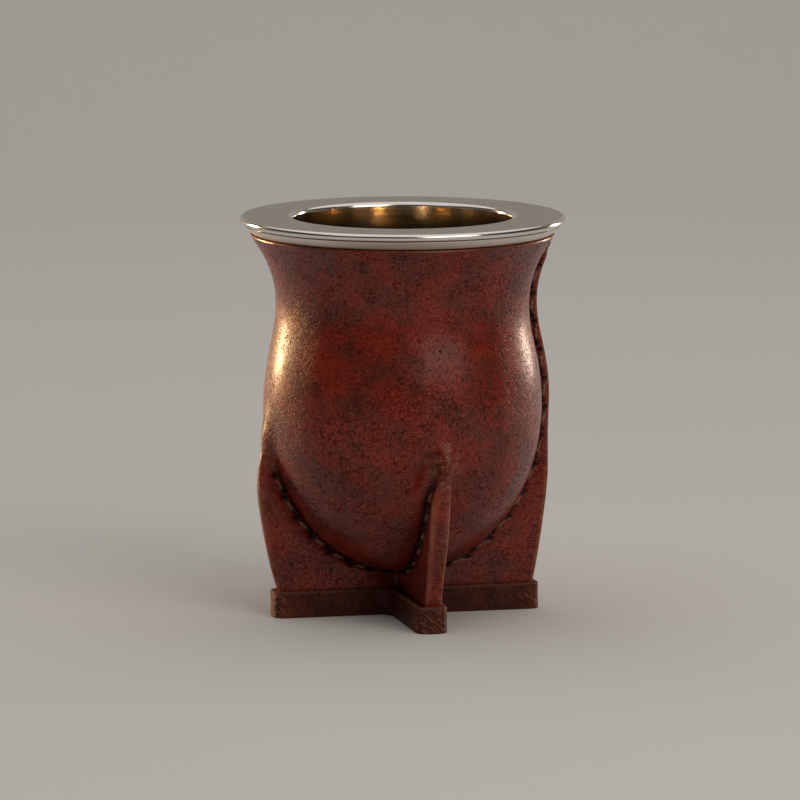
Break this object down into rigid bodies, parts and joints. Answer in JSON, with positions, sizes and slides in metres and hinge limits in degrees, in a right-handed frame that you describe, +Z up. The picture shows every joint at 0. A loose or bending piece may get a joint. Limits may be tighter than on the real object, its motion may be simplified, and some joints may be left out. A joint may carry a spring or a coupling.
{
  "type": "leather-covered mate cup",
  "caption": "Empty mate cup: steel bore with a wide flat rim, in a stitched leather cover pinched into standing fins over a leather foot band",
  "frame": {"origin": "on the floor below the middle of the cup", "axes": "+Z is up along the cup's axis; the full-length seam lies along +X and the pinched fins along +Y, -X and -Y"},
  "size_m": [0.0862, 0.0862, 0.106],
  "materials": {
    "steel": "satin flat rim, polished edge and bore",
    "cover_leather": "red-brown pebbled leather, satin, worn paler on its wrinkles",
    "band_leather": "dull dark red-brown leather with a raw tan cut edge",
    "thread": "dark waxed thread"
  },
  "bodies": {
    "root": {"steel_cup": "steel", "leather_cover": "cover_leather", "foot_band": "band_leather", "thread_seam_a": "thread", "thread_seam_b": "thread", "thread_back_fin_a": "thread", "thread_back_fin_b": "thread", "thread_left_fin_a": "thread", "thread_left_fin_b": "thread", "thread_front_fin_a": "thread", "thread_front_fin_b": "thread"}
  },
  "joints": []
}
